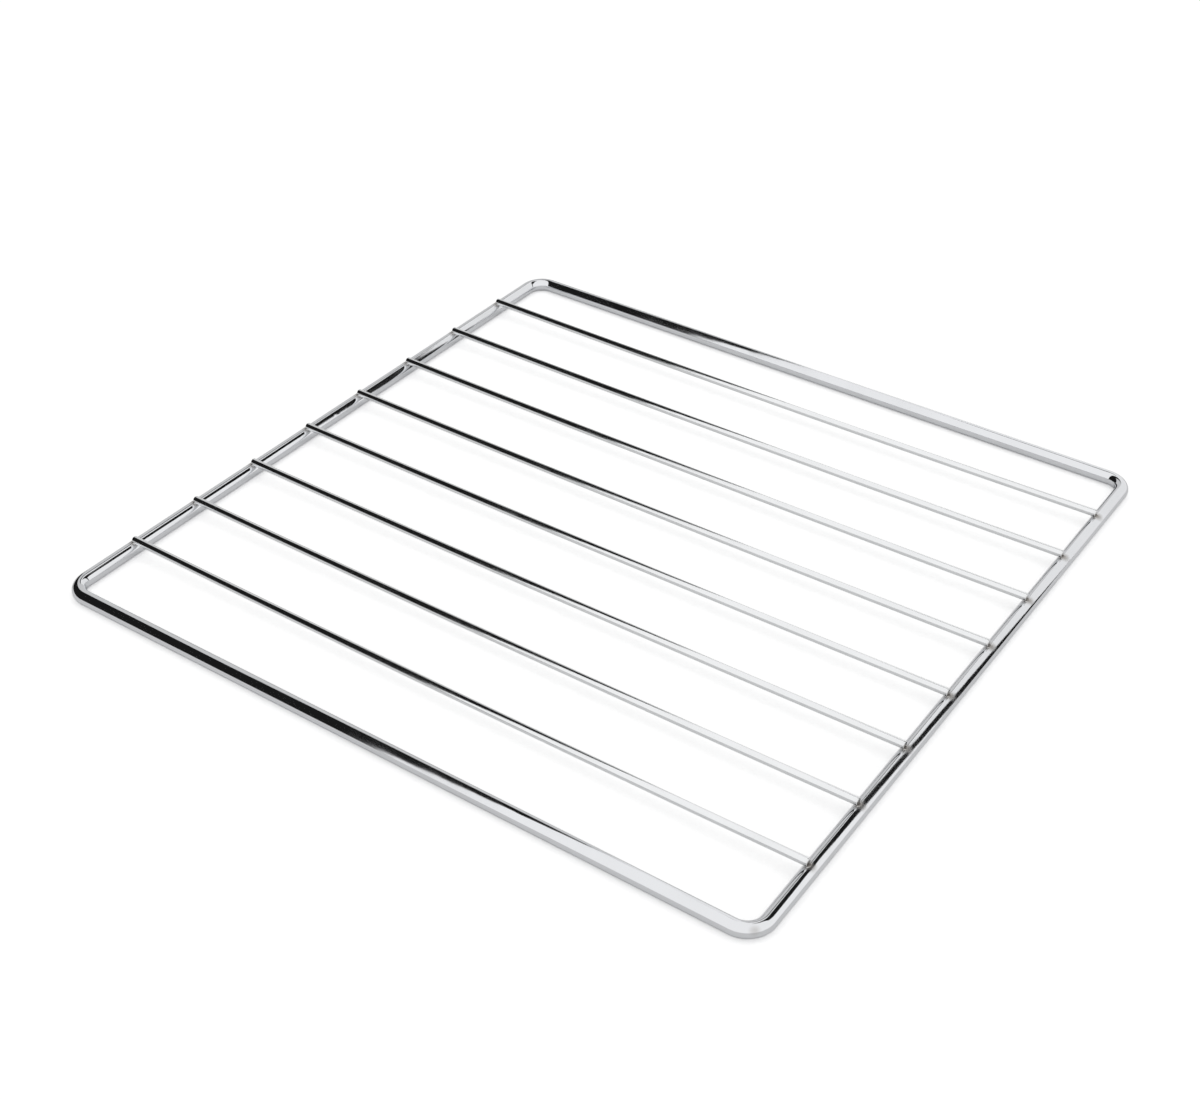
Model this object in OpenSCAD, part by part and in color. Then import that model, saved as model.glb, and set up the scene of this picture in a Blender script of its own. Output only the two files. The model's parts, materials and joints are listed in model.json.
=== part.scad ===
// Oven rack: a square of bent round rod that carries a row of thinner cross wires.
// The origin is under the middle of the rack, on the surface that it lies on, with +Z up.
// The wires run along Y, from the front rail at -Y to the back rail at +Y.
// The two rails along Y, left and right, are the ones that ride on an oven's runners.

/* [Frame] */
// Width of the rack over its left and right rails, along X
rack_w = 424; // [200:1:700]
// Depth of the rack over its front and back rails, along Y
rack_d = 424; // [200:1:700]
// Diameter of the frame's rod
rod_d = 8; // [5:0.5:14]
// Inside radius of the bend at each corner of the frame
bend_inner_r = 7.5; // [3:0.5:20]

/* [Cross wires] */
// Number of cross wires, with equal gaps between them and the rails beside them
wire_count = 8; // [2:1:12]
// Diameter of a cross wire
wire_d = 4.2; // [2:0.1:7]
// How far the middle of a wire hangs below its welded ends
wire_sag = 1.5; // [0.2:0.1:4]
// Depth to which the spot weld presses a wire's underside into the crown of the rod
weld_set = 0.45; // [0.1:0.05:1]
// Distance from the rod's centre line back to the cut end of a wire
end_setback = 0.8; // [0:0.1:1.5]
// Chamfer on the rim of a wire's cut end
cut_chamfer = 0.4; // [0.1:0.1:0.8]

/* [Hidden] */

rod_r = rod_d / 2;
wire_r = wire_d / 2;

// Centre lines of the rails, from the middle of the rack
rail_x = rack_w / 2 - rod_r;
rail_y = rack_d / 2 - rod_r;
bend_r = bend_inner_r + rod_r;

// Distance between neighbouring centre lines, from the left rail over the wires to the right rail
pitch = 2 * rail_x / (wire_count + 1);

// A wire spans half_span either side of its middle, and its axis rises from mid_z to end_z
half_span = rail_y - end_setback;
end_z = rod_d + wire_r - weld_set;
mid_z = end_z - wire_sag;

// The bow is a shallow parabola: height and lean of the axis at distance y from the middle
function bow_z(y) = mid_z + wire_sag * pow(y / half_span, 2);
function bow_lean(y) = atan(2 * wire_sag * y / pow(half_span, 2));

// Sections of a wire from end to end: distance from its middle, and radius there
bow_steps = 10;
full_span = half_span - cut_chamfer;
sections = concat(
    [[-half_span, wire_r - cut_chamfer]],
    [for (step = [0:bow_steps]) [full_span * (2 * step / bow_steps - 1), wire_r]],
    [[half_span, wire_r - cut_chamfer]]
);

rod_facets = 48;
wire_facets = 24;
bend_facets = 64;

module straight_rod(length) {
    cylinder(d = rod_d, h = length, center = true, $fn = rod_facets);
}

// The frame is one rod, bent at four corners, with its two ends butt-welded and ground flush
module outer_frame() {
    color([0.82, 0.83, 0.85])
    translate([0, 0, rod_r]) {
        for (side = [-1, 1]) {
            translate([side * rail_x, 0, 0])
            rotate([90, 0, 0])
            straight_rod(2 * (rail_y - bend_r));

            translate([0, side * rail_y, 0])
            rotate([0, 90, 0])
            straight_rod(2 * (rail_x - bend_r));
        }
        for (turn = [0:3]) {
            corner_x = (turn == 0 || turn == 3) ? 1 : -1;
            corner_y = (turn < 2) ? 1 : -1;
            translate([corner_x * (rail_x - bend_r), corner_y * (rail_y - bend_r), 0])
            rotate([0, 0, 90 * turn])
            rotate_extrude(angle = 90, $fn = bend_facets)
            translate([bend_r, 0])
            circle(d = rod_d, $fn = rod_facets);
        }
    }
}

// Wire along Y before it is seated, with its ends at end_z and its middle at mid_z
module bowed_wire() {
    points = [
        for (section = sections, facet = [0:wire_facets - 1])
            let (
                y = section[0],
                across = section[1] * cos(360 * facet / wire_facets),
                up = section[1] * sin(360 * facet / wire_facets)
            )
            [across, y - up * sin(bow_lean(y)), bow_z(y) + up * cos(bow_lean(y))]
    ];
    last = len(sections) - 1;
    front_end = [for (facet = [wire_facets - 1:-1:0]) facet];
    back_end = [for (facet = [0:wire_facets - 1]) last * wire_facets + facet];
    sides = [
        for (ring = [0:last - 1], facet = [0:wire_facets - 1])
            let (
                here = ring * wire_facets,
                beyond = here + wire_facets,
                beside = (facet + 1) % wire_facets
            )
            [here + facet, here + beside, beyond + beside, beyond + facet]
    ];
    polyhedron(points = points, faces = concat([front_end], sides, [back_end]));
}

// A cross wire: its underside takes the form of the front and back rails at the welds
module cross_wire(number) {
    color([0.88, 0.89, 0.9])
    translate([number * pitch - rail_x, 0, 0])
    difference() {
        bowed_wire();
        for (side = [-1, 1]) {
            translate([0, side * rail_y, rod_r])
            rotate([0, 90, 0])
            cylinder(d = rod_d, h = 2 * wire_d, center = true, $fn = rod_facets);
        }
    }
}

outer_frame();
for (i = [1:wire_count]) {
    cross_wire(i);
}
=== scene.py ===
import json
import math

import bmesh
import bpy
from mathutils import Matrix, Vector


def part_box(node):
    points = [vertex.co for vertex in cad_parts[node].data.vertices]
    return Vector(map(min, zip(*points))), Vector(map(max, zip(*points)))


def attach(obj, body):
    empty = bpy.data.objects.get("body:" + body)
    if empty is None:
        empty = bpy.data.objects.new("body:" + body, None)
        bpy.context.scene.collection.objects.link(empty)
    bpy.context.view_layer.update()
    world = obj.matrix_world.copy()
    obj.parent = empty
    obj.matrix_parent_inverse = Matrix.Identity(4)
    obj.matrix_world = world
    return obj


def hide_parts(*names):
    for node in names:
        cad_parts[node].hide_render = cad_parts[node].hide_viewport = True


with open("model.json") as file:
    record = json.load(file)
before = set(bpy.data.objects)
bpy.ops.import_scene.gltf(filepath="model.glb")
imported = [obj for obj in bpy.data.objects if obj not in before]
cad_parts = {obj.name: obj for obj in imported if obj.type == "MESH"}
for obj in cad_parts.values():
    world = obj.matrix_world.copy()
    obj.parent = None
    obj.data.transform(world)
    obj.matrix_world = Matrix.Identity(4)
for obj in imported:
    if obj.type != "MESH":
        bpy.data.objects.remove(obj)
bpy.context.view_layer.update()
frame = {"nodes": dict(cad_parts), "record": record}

# Frame rod
# One length of drawn steel rod, bent cold at four corners into a square. Its two ends are
# butt-welded in the middle of the back rail and ground flush, and the finished rack is
# plated with bright chrome.
rod_low, rod_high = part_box("outer_frame")
rod_radius = (rod_high.z - rod_low.z) / 2
rail_x = rod_high.x - rod_radius
rail_y = rod_high.y - rod_radius
runner_length = frame["record"]["mounts"][0]["dims"]["length_mm"] / 1000
bend_radius = rail_y - runner_length / 2
core_x = rail_x - bend_radius
core_y = rail_y - bend_radius

rod_facets = 48
straight_steps = 12
bend_steps = 20
bend_collar = 0.0015
bend_flattening = 0.03
butt_ridge = 0.00003
quarter_turn = math.radians(90)


def draw_on(mesh, end, move, steps):
    """Lengthens the open end of a rod in a straight line, and gives its new end."""
    drawn = bmesh.ops.spin(
        mesh, geom=end, cent=(0, 0, 0), axis=(0, 0, 1), dvec=move / steps,
        angle=0, steps=steps, use_merge=False, use_duplicate=False,
    )
    return drawn["geom_last"]


def bend_on(mesh, end, centre, angle, steps):
    """Bends the open end of a rod round an upright axis, and gives its new end."""
    bent = bmesh.ops.spin(
        mesh, geom=end, cent=centre, axis=(0, 0, 1), dvec=(0, 0, 0),
        angle=angle, steps=steps, use_merge=False, use_duplicate=False,
    )
    return bent["geom_last"]


def draw_between_collars(mesh, end, heading, length):
    """Draws a straight stretch with a short ring at both ends, which keeps its shading straight."""
    end = draw_on(mesh, end, heading * bend_collar, 1)
    end = draw_on(mesh, end, heading * (length - 2 * bend_collar), straight_steps)
    return draw_on(mesh, end, heading * bend_collar, 1)


def section_of(point):
    """The nearest point of the frame's centre line, and the way outwards from there."""
    core = Vector((
        max(-core_x, min(core_x, point.x)),
        max(-core_y, min(core_y, point.y)),
        rod_radius,
    ))
    outward = Vector((point.x - core.x, point.y - core.y, 0)).normalized()
    return core + bend_radius * outward, outward


def finished_piece(name, mesh, material, cad_node=None):
    """Makes an object of a mesh, lets it ride on the rack and stand for its CAD node."""
    bmesh.ops.recalc_face_normals(mesh, faces=mesh.faces)
    data = bpy.data.meshes.new(name)
    mesh.to_mesh(data)
    mesh.free()
    data.materials.append(material)
    piece = bpy.data.objects.new(name, data)
    bpy.context.scene.collection.objects.link(piece)
    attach(piece, "root")
    if cad_node:
        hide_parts(cad_node)
    return piece


def node(tree, kind, sockets=None, **settings):
    """A shader node with its settings made, and its sockets filled or linked."""
    made = tree.nodes.new(kind)
    for name, value in settings.items():
        setattr(made, name, value)
    for name, value in (sockets or {}).items():
        if isinstance(value, bpy.types.NodeSocket):
            tree.links.new(value, made.inputs[name])
        else:
            made.inputs[name].default_value = value
    return made


def new_group(name, inputs, outputs):
    """An empty node group of float sockets, with its input and output nodes."""
    group = bpy.data.node_groups.new(name, "ShaderNodeTree")
    for socket, value in inputs.items():
        made = group.interface.new_socket(socket, in_out="INPUT", socket_type="NodeSocketFloat")
        made.default_value = value
    for socket in outputs:
        group.interface.new_socket(socket, in_out="OUTPUT", socket_type="NodeSocketFloat")
    return group, group.nodes.new("NodeGroupInput"), group.nodes.new("NodeGroupOutput")


def drawing_lines_group():
    """Fine lines that the die leaves along a drawn rod: they vary round it and barely along it."""
    group, given, made = new_group("drawing_lines", {"Lines": 12.0, "Drift": 9.0}, ["Height"])
    around = node(group, "ShaderNodeAttribute", attribute_name="around")
    place = node(group, "ShaderNodeTexCoord")
    lines = node(
        group, "ShaderNodeVectorMath",
        {0: around.outputs["Vector"], "Scale": given.outputs["Lines"]}, operation="SCALE",
    )
    drift = node(
        group, "ShaderNodeVectorMath",
        {0: place.outputs["Object"], "Scale": given.outputs["Drift"]}, operation="SCALE",
    )
    where = node(
        group, "ShaderNodeVectorMath",
        {0: lines.outputs["Vector"], 1: drift.outputs["Vector"]}, operation="ADD",
    )
    noise = node(
        group, "ShaderNodeTexNoise",
        {"Vector": where.outputs["Vector"], "Scale": 1.0, "Detail": 3.0, "Roughness": 0.6},
    )
    group.links.new(noise.outputs["Fac"], made.inputs["Height"])
    return group


def plating_cloud_group():
    """Soft patches in which the plating came out a little brighter or hazier."""
    group, given, made = new_group("plating_cloud", {"Patches": 40.0}, ["Cloud"])
    place = node(group, "ShaderNodeTexCoord")
    noise = node(
        group, "ShaderNodeTexNoise",
        {
            "Vector": place.outputs["Object"], "Scale": given.outputs["Patches"],
            "Detail": 2.0, "Roughness": 0.55,
        },
    )
    group.links.new(noise.outputs["Fac"], made.inputs["Cloud"])
    return group


def weld_shade_and_dull_group():
    """The crook round each spot weld, where the plating lies thinner and duller and the colour is darkened as
    painted shade: 1 at the weld, 0 outside.
    """
    inputs = {"Pitch": 0.046, "Rail": 0.208, "Crown": 0.008, "Reach": 0.0045}
    group, given, made = new_group("weld_shade_and_dull", inputs, ["Mask"])
    place = node(group, "ShaderNodeTexCoord")
    parts = node(group, "ShaderNodeSeparateXYZ", {"Vector": place.outputs["Object"]})
    half = node(group, "ShaderNodeMath", {0: given.outputs["Pitch"], 1: 0.5}, operation="MULTIPLY")
    beside = node(
        group, "ShaderNodeMath", {0: parts.outputs["X"], 1: half.outputs[0]}, operation="ADD",
    )
    across = node(
        group, "ShaderNodeMath",
        {0: beside.outputs[0], 1: half.outputs[0]}, operation="PINGPONG",
    )
    depth = node(group, "ShaderNodeMath", {0: parts.outputs["Y"]}, operation="ABSOLUTE")
    along = node(
        group, "ShaderNodeMath",
        {0: depth.outputs[0], 1: given.outputs["Rail"]}, operation="SUBTRACT",
    )
    above = node(
        group, "ShaderNodeMath",
        {0: parts.outputs["Z"], 1: given.outputs["Crown"]}, operation="SUBTRACT",
    )
    offset = node(
        group, "ShaderNodeCombineXYZ",
        {"X": across.outputs[0], "Y": along.outputs[0], "Z": above.outputs[0]},
    )
    distance = node(
        group, "ShaderNodeVectorMath", {0: offset.outputs["Vector"]}, operation="LENGTH",
    )
    near = node(
        group, "ShaderNodeMapRange",
        {
            "Value": distance.outputs["Value"], "From Min": 0.0, "From Max": given.outputs["Reach"],
            "To Min": 1.0, "To Max": 0.0,
        },
        interpolation_type="SMOOTHSTEP",
    )
    group.links.new(near.outputs["Result"], made.inputs["Mask"])
    return group


drawing_lines = drawing_lines_group()
plating_cloud = plating_cloud_group()
weld_shade_and_dull = weld_shade_and_dull_group()
wire_low, wire_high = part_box("cross_wire_1")
wire_pitch = (wire_low.x + wire_high.x) / 2 + rail_x


def chrome(name, colour, lines, line_depth, ripple_depth):
    """Bright chrome over drawn steel, with the lines and haze of a real rack, and a painted shade with duller
    plating in the crook of each weld.
    """
    material = bpy.data.materials.new(name)
    material.use_nodes = True
    tree = material.node_tree
    surface = tree.nodes["Principled BSDF"]
    surface.inputs["Metallic"].default_value = 1.0
    line = node(tree, "ShaderNodeGroup", node_tree=drawing_lines)
    line.inputs["Lines"].default_value = lines
    cloud = node(tree, "ShaderNodeGroup", {"Patches": 45.0}, node_tree=plating_cloud)
    cloud.inputs["Patches"].default_value = 45.0
    crook_shade_and_dull = node(tree, "ShaderNodeGroup", node_tree=weld_shade_and_dull)
    crook_shade_and_dull.inputs["Pitch"].default_value = wire_pitch
    crook_shade_and_dull.inputs["Rail"].default_value = rail_y
    crook_shade_and_dull.inputs["Crown"].default_value = 2 * rod_radius
    place = node(tree, "ShaderNodeTexCoord")

    dull = [0.93 * part for part in colour]
    plated = node(
        tree, "ShaderNodeMix",
        {"Factor": cloud.outputs["Cloud"], "A": (*colour, 1), "B": (*dull, 1)}, data_type="RGBA",
    )
    # Painted shade: in the crook round each weld, where wire and rail shade each other, the base colour is
    # darkened towards grey brown.
    shaded = node(
        tree, "ShaderNodeMix",
        {"Factor": crook_shade_and_dull.outputs["Mask"], "A": plated.outputs["Result"], "B": (0.42, 0.4, 0.38, 1)},
        data_type="RGBA",
    )
    tree.links.new(shaded.outputs["Result"], surface.inputs["Base Color"])

    haze = node(
        tree, "ShaderNodeMapRange",
        {"Value": cloud.outputs["Cloud"], "From Min": 0.3, "From Max": 0.75, "To Min": 0.04, "To Max": 0.1},
    )
    # The same crook mask also makes the plating duller there, which is real roughness, not painted light.
    rough = node(
        tree, "ShaderNodeMath",
        {0: crook_shade_and_dull.outputs["Mask"], 1: 0.22, 2: haze.outputs["Result"]}, operation="MULTIPLY_ADD",
    )
    tree.links.new(rough.outputs[0], surface.inputs["Roughness"])

    ripple = node(
        tree, "ShaderNodeTexNoise", {"Vector": place.outputs["Object"], "Scale": 45.0, "Detail": 1.0},
    )
    waves = node(
        tree, "ShaderNodeBump",
        {"Height": ripple.outputs["Fac"], "Distance": ripple_depth, "Strength": 1.0},
    )
    relief = node(
        tree, "ShaderNodeBump",
        {
            "Height": line.outputs["Height"], "Distance": line_depth, "Strength": 1.0,
            "Normal": waves.outputs["Normal"],
        },
    )
    tree.links.new(relief.outputs["Normal"], surface.inputs["Normal"])
    return material


frame_chrome = chrome("frame_chrome", (0.82, 0.83, 0.85), 12.0, 0.000003, 0.00008)

rod = bmesh.new()
bmesh.ops.create_circle(
    rod, segments=rod_facets, radius=rod_radius,
    matrix=Matrix.Translation((0, rail_y, rod_radius)) @ Matrix.Rotation(quarter_turn, 4, "Y"),
)
end = rod.verts[:] + rod.edges[:]
end = draw_on(rod, end, Vector((-bend_collar, 0, 0)), 1)
end = draw_between_collars(rod, end, Vector((-1, 0, 0)), core_x - bend_collar)
corners = [(-1, 1, (0, -1)), (-1, -1, (1, 0)), (1, -1, (0, 1)), (1, 1, (-1, 0))]
for side_x, side_y, heading in corners:
    end = bend_on(rod, end, (side_x * core_x, side_y * core_y, rod_radius), quarter_turn, bend_steps)
    if heading == (-1, 0):
        end = draw_between_collars(rod, end, Vector((-1, 0, 0)), core_x - bend_collar)
        end = draw_on(rod, end, Vector((-bend_collar, 0, 0)), 1)
    else:
        end = draw_between_collars(rod, end, Vector((*heading, 0)), 2 * core_y)
bmesh.ops.remove_doubles(rod, verts=rod.verts, dist=0.00001)

around = rod.verts.layers.float_vector.new("around")
for point in rod.verts:
    centre, outward = section_of(point.co)
    sideways = (point.co - centre).dot(outward)
    point[around] = (sideways / rod_radius, (point.co.z - rod_radius) / rod_radius, 0)
    turn = abs(outward.x * outward.y) * 2
    point.co -= outward * sideways * bend_flattening * turn
    if abs(point.co.x) < bend_collar / 2 and point.co.y > 0:
        point.co += (point.co - centre).normalized() * butt_ridge
for face in rod.faces:
    face.smooth = True
frame_rod = finished_piece("frame_rod", rod, frame_chrome, "outer_frame")

# Cross wires
# Eight straight lengths of thinner drawn wire, sheared square and laid side by side from the
# front rail to the back rail. Each hangs in a shallow bow, because the spot welds that press
# its ends into the rod leave its middle a little low.
wire_radius = (wire_high.x - wire_low.x) / 2
half_span = (wire_high.y - wire_low.y) / 2
middle_height = wire_low.z + wire_radius
end_height = wire_high.z - wire_radius
wire_facets = 32
wire_steps = 28
rim_round = 0.0004
rim_segments = 3
wire_names = [name for name in sorted(frame["nodes"]) if name.startswith("cross_wire_")]
wire_chrome = chrome("wire_chrome", (0.88, 0.89, 0.9), 7.0, 0.000002, 0.00004)


def axis_height(y):
    """Height of a wire's axis at a distance from its middle."""
    return middle_height + (end_height - middle_height) * (y / half_span) ** 2


def cross_wire(name, wire_x):
    """A wire with a rolled rim at both cut ends, bowed and set in its place."""
    wire = bmesh.new()
    bmesh.ops.create_circle(
        wire, segments=wire_facets, radius=wire_radius,
        matrix=Matrix.Translation((wire_x, -half_span, 0)) @ Matrix.Rotation(quarter_turn, 4, "X"),
    )
    rim_collar = 2 * rim_round
    end = wire.verts[:] + wire.edges[:]
    end = draw_on(wire, end, Vector((0, rim_collar, 0)), 1)
    end = draw_on(wire, end, Vector((0, 2 * (half_span - rim_collar), 0)), wire_steps)
    end = draw_on(wire, end, Vector((0, rim_collar, 0)), 1)
    rims = [edge for edge in wire.edges if edge.is_boundary]
    cuts = bmesh.ops.holes_fill(wire, edges=rims)["faces"]
    for face in wire.faces:
        face.smooth = face not in cuts
    bmesh.ops.bevel(
        wire, geom=rims, offset=rim_round, segments=rim_segments, profile=0.5,
        affect="EDGES", material=-1,
    )
    around = wire.verts.layers.float_vector.new("around")
    for point in wire.verts:
        point[around] = ((point.co.x - wire_x) / wire_radius, point.co.z / wire_radius, 0)
        point.co.z += axis_height(point.co.y)
    return finished_piece(name.replace("cross_wire", "wire"), wire, wire_chrome, name)


for name in wire_names:
    low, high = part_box(name)
    cross_wire(name, (low.x + high.x) / 2)

# Spot welds
# Where a wire crosses a rail, current and pressure sink it a little into the crown of the rod
# and squeeze out a thin collar of steel round the seat, which the plating then covers.
seat_half_width = 0.00145
seat_half_depth = 0.0011
collar_radius = 0.00038
collar_sink = 0.0001
seat_setback = 0.0009


def weld_collars(name, side):
    """The eight collars along one rail, each draped over the crown of the rod."""
    collars = bmesh.new()
    for wire in wire_names:
        low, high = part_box(wire)
        ring = bmesh.ops.create_circle(
            collars, segments=12, radius=collar_radius,
            matrix=Matrix.Translation((seat_half_width, 0, 0)) @ Matrix.Rotation(quarter_turn, 4, "X"),
        )["verts"]
        edges = list({edge for point in ring for edge in point.link_edges})
        before = set(collars.verts) - set(ring)
        bmesh.ops.spin(
            collars, geom=ring + edges, cent=(0, 0, 0), axis=(0, 0, 1), dvec=(0, 0, 0),
            angle=math.radians(360), steps=32, use_merge=True, use_duplicate=False,
        )
        for point in set(collars.verts) - before:
            point.co.y = point.co.y * seat_half_depth / seat_half_width + side * (rail_y - seat_setback)
            drop = (abs(point.co.y) - rail_y) ** 2 / (2 * rod_radius)
            point.co.z += 2 * rod_radius - collar_sink - drop
            point.co.x += (low.x + high.x) / 2
    around = collars.verts.layers.float_vector.new("around")
    for face in collars.faces:
        face.smooth = True
    welds = finished_piece(name, collars, wire_chrome)


weld_collars("welds_front", -1)
weld_collars("welds_back", 1)

# Floor
# A plain pale studio floor that the rack lies on.
floor_size = 12.0
floor_colour = (0.93, 0.93, 0.93, 1)
floor_glow = 0.42

floor_mesh = bmesh.new()
bmesh.ops.create_grid(floor_mesh, x_segments=1, y_segments=1, size=floor_size / 2)
floor_data = bpy.data.meshes.new("floor")
floor_mesh.to_mesh(floor_data)
floor_mesh.free()
floor = bpy.data.objects.new("floor", floor_data)
bpy.context.scene.collection.objects.link(floor)

paint = bpy.data.materials.new("floor_paint")
paint.use_nodes = True
tree = paint.node_tree
tree.nodes.clear()
paper = node(tree, "ShaderNodeBsdfDiffuse", {"Color": floor_colour})
path = node(tree, "ShaderNodeLightPath")
glow_level = node(tree, "ShaderNodeMath", {0: path.outputs["Is Camera Ray"], 1: floor_glow}, operation="MULTIPLY")
glow = node(tree, "ShaderNodeEmission", {"Color": (1, 1, 1, 1), "Strength": glow_level.outputs[0]})
lit = node(tree, "ShaderNodeAddShader", {0: paper.outputs[0], 1: glow.outputs[0]})
clear = node(tree, "ShaderNodeBsdfTransparent")
below = node(tree, "ShaderNodeNewGeometry")
seen = node(
    tree, "ShaderNodeMixShader",
    {0: below.outputs["Backfacing"], 1: lit.outputs[0], 2: clear.outputs[0]},
)
node(tree, "ShaderNodeOutputMaterial", {"Surface": seen.outputs[0]})
floor_data.materials.append(paint)

# Studio light
# A white room lights the rack evenly, and one large soft box above it gives the shadow. The
# gaps between the panels of the room are dark, and the bright metal shows them as dark lines.
world = bpy.data.worlds.new("studio")
bpy.context.scene.world = world
world.use_nodes = True
tree = world.node_tree
tree.nodes.clear()
path = node(tree, "ShaderNodeLightPath")
shown = node(
    tree, "ShaderNodeMath",
    {0: path.outputs["Is Camera Ray"], 1: path.outputs["Is Glossy Ray"]}, operation="MAXIMUM",
)
level = node(
    tree, "ShaderNodeMapRange", {"Value": shown.outputs[0], "To Min": 0.55, "To Max": 1.0},
)
room = node(tree, "ShaderNodeBackground", {"Color": (1, 1, 1, 1), "Strength": level.outputs["Result"]})
node(tree, "ShaderNodeOutputWorld", {"Surface": room.outputs[0]})

soft_box = bpy.data.lights.new("soft_box", "AREA")
soft_box.shape = "SQUARE"
soft_box.size = 2.0
soft_box.energy = 9.0
soft_box_lamp = bpy.data.objects.new("soft_box", soft_box)
soft_box_lamp.location = (0, 0, 2.2)
soft_box_lamp.visible_glossy = False
bpy.context.scene.collection.objects.link(soft_box_lamp)

gap_shade = 0.012
wing_shade = 0.66
side_shade = 0.92
back_gap_radius = 4.3
back_gap_centre = (0.65, 2.0, 0.0)
wing_low = (0.75, 1.9, -0.05)
wing_high = (9.0, 1.9, 2.35)
side_distance = 2.0
side_shift = Vector((0, -0.2, 0))
side_end = 0.75
side_turn = 95
side_rise = 5
side_panel_spread = 42.5
side_gap_spread = 49.5
header_low = (2.1, -1.6, 2.6)
header_high = (2.1, 0.75, 4.2)


def room_card(name, mesh, shade):
    """A card of one plain shade that only the metal's reflections see."""
    material = bpy.data.materials.new(name)
    material.use_nodes = True
    material.node_tree.nodes.clear()
    light = node(
        material.node_tree, "ShaderNodeEmission", {"Color": (shade, shade, shade, 1), "Strength": 1.0},
    )
    node(material.node_tree, "ShaderNodeOutputMaterial", {"Surface": light.outputs[0]})
    data = bpy.data.meshes.new(name)
    mesh.to_mesh(data)
    mesh.free()
    data.materials.append(material)
    card = bpy.data.objects.new(name, data)
    card.visible_camera = False
    card.visible_diffuse = False
    card.visible_transmission = False
    card.visible_volume_scatter = False
    card.visible_shadow = False
    bpy.context.scene.collection.objects.link(card)


def round_card(name, centre, radius, shade):
    """A round card that faces the rack, cut off where the back wall begins."""
    mesh = bmesh.new()
    facing = Vector(centre).to_track_quat("Z", "Y").to_matrix().to_4x4()
    bmesh.ops.create_circle(
        mesh, cap_ends=True, segments=64, radius=radius,
        matrix=Matrix.Translation(Vector(centre) + side_shift) @ facing,
    )
    bmesh.ops.bisect_plane(
        mesh, geom=mesh.verts[:] + mesh.edges[:] + mesh.faces[:], plane_co=(0, side_end, 0),
        plane_no=(0, 1, 0), clear_outer=True,
    )
    room_card(name, mesh, shade)


back_gap = bmesh.new()
bmesh.ops.create_circle(
    back_gap, cap_ends=True, segments=64, radius=back_gap_radius,
    matrix=Matrix.Translation(back_gap_centre) @ Matrix.Rotation(quarter_turn, 4, "X"),
)
room_card("back_gap", back_gap, gap_shade)

wing = bmesh.new()
bmesh.ops.create_grid(
    wing, x_segments=1, y_segments=1, size=0.5,
    matrix=Matrix.Translation((Vector(wing_low) + Vector(wing_high)) / 2)
    @ Matrix.Diagonal((wing_high[0] - wing_low[0], 1, wing_high[2] - wing_low[2], 1))
    @ Matrix.Rotation(quarter_turn, 4, "X"),
)
room_card("back_wing", wing, wing_shade)

header = bmesh.new()
bmesh.ops.create_grid(
    header, x_segments=1, y_segments=1, size=0.5,
    matrix=Matrix.Translation((Vector(header_low) + Vector(header_high)) / 2)
    @ Matrix.Diagonal((1, header_high[1] - header_low[1], header_high[2] - header_low[2], 1))
    @ Matrix.Rotation(quarter_turn, 4, "Y"),
)
room_card("side_header", header, gap_shade)

turn = math.radians(side_turn)
rise = math.radians(side_rise)
side_way = Vector((math.sin(turn) * math.cos(rise), -math.cos(turn) * math.cos(rise), math.sin(rise)))
round_card(
    "side_gap", side_way * (side_distance + 0.05),
    (side_distance + 0.05) * math.tan(math.radians(side_gap_spread)), gap_shade,
)
round_card(
    "side_panel", side_way * side_distance,
    side_distance * math.tan(math.radians(side_panel_spread)), side_shade,
)

# Camera
# The place, turn and lens at which the rack's rails and wires fall on those of the photograph.
camera_place = (-0.68930, -0.45168, 0.60136)
camera_tilt = 53.577
camera_roll = -0.593
camera_turn = -55.497
camera_lens = 55.805

camera = bpy.data.objects.new("camera", bpy.data.cameras.new("camera"))
camera.data.lens = camera_lens
camera.location = camera_place
camera.rotation_euler = [math.radians(angle) for angle in (camera_tilt, camera_roll, camera_turn)]
bpy.context.scene.collection.objects.link(camera)
bpy.context.scene.camera = camera
bpy.context.scene.view_settings.view_transform = "Standard"
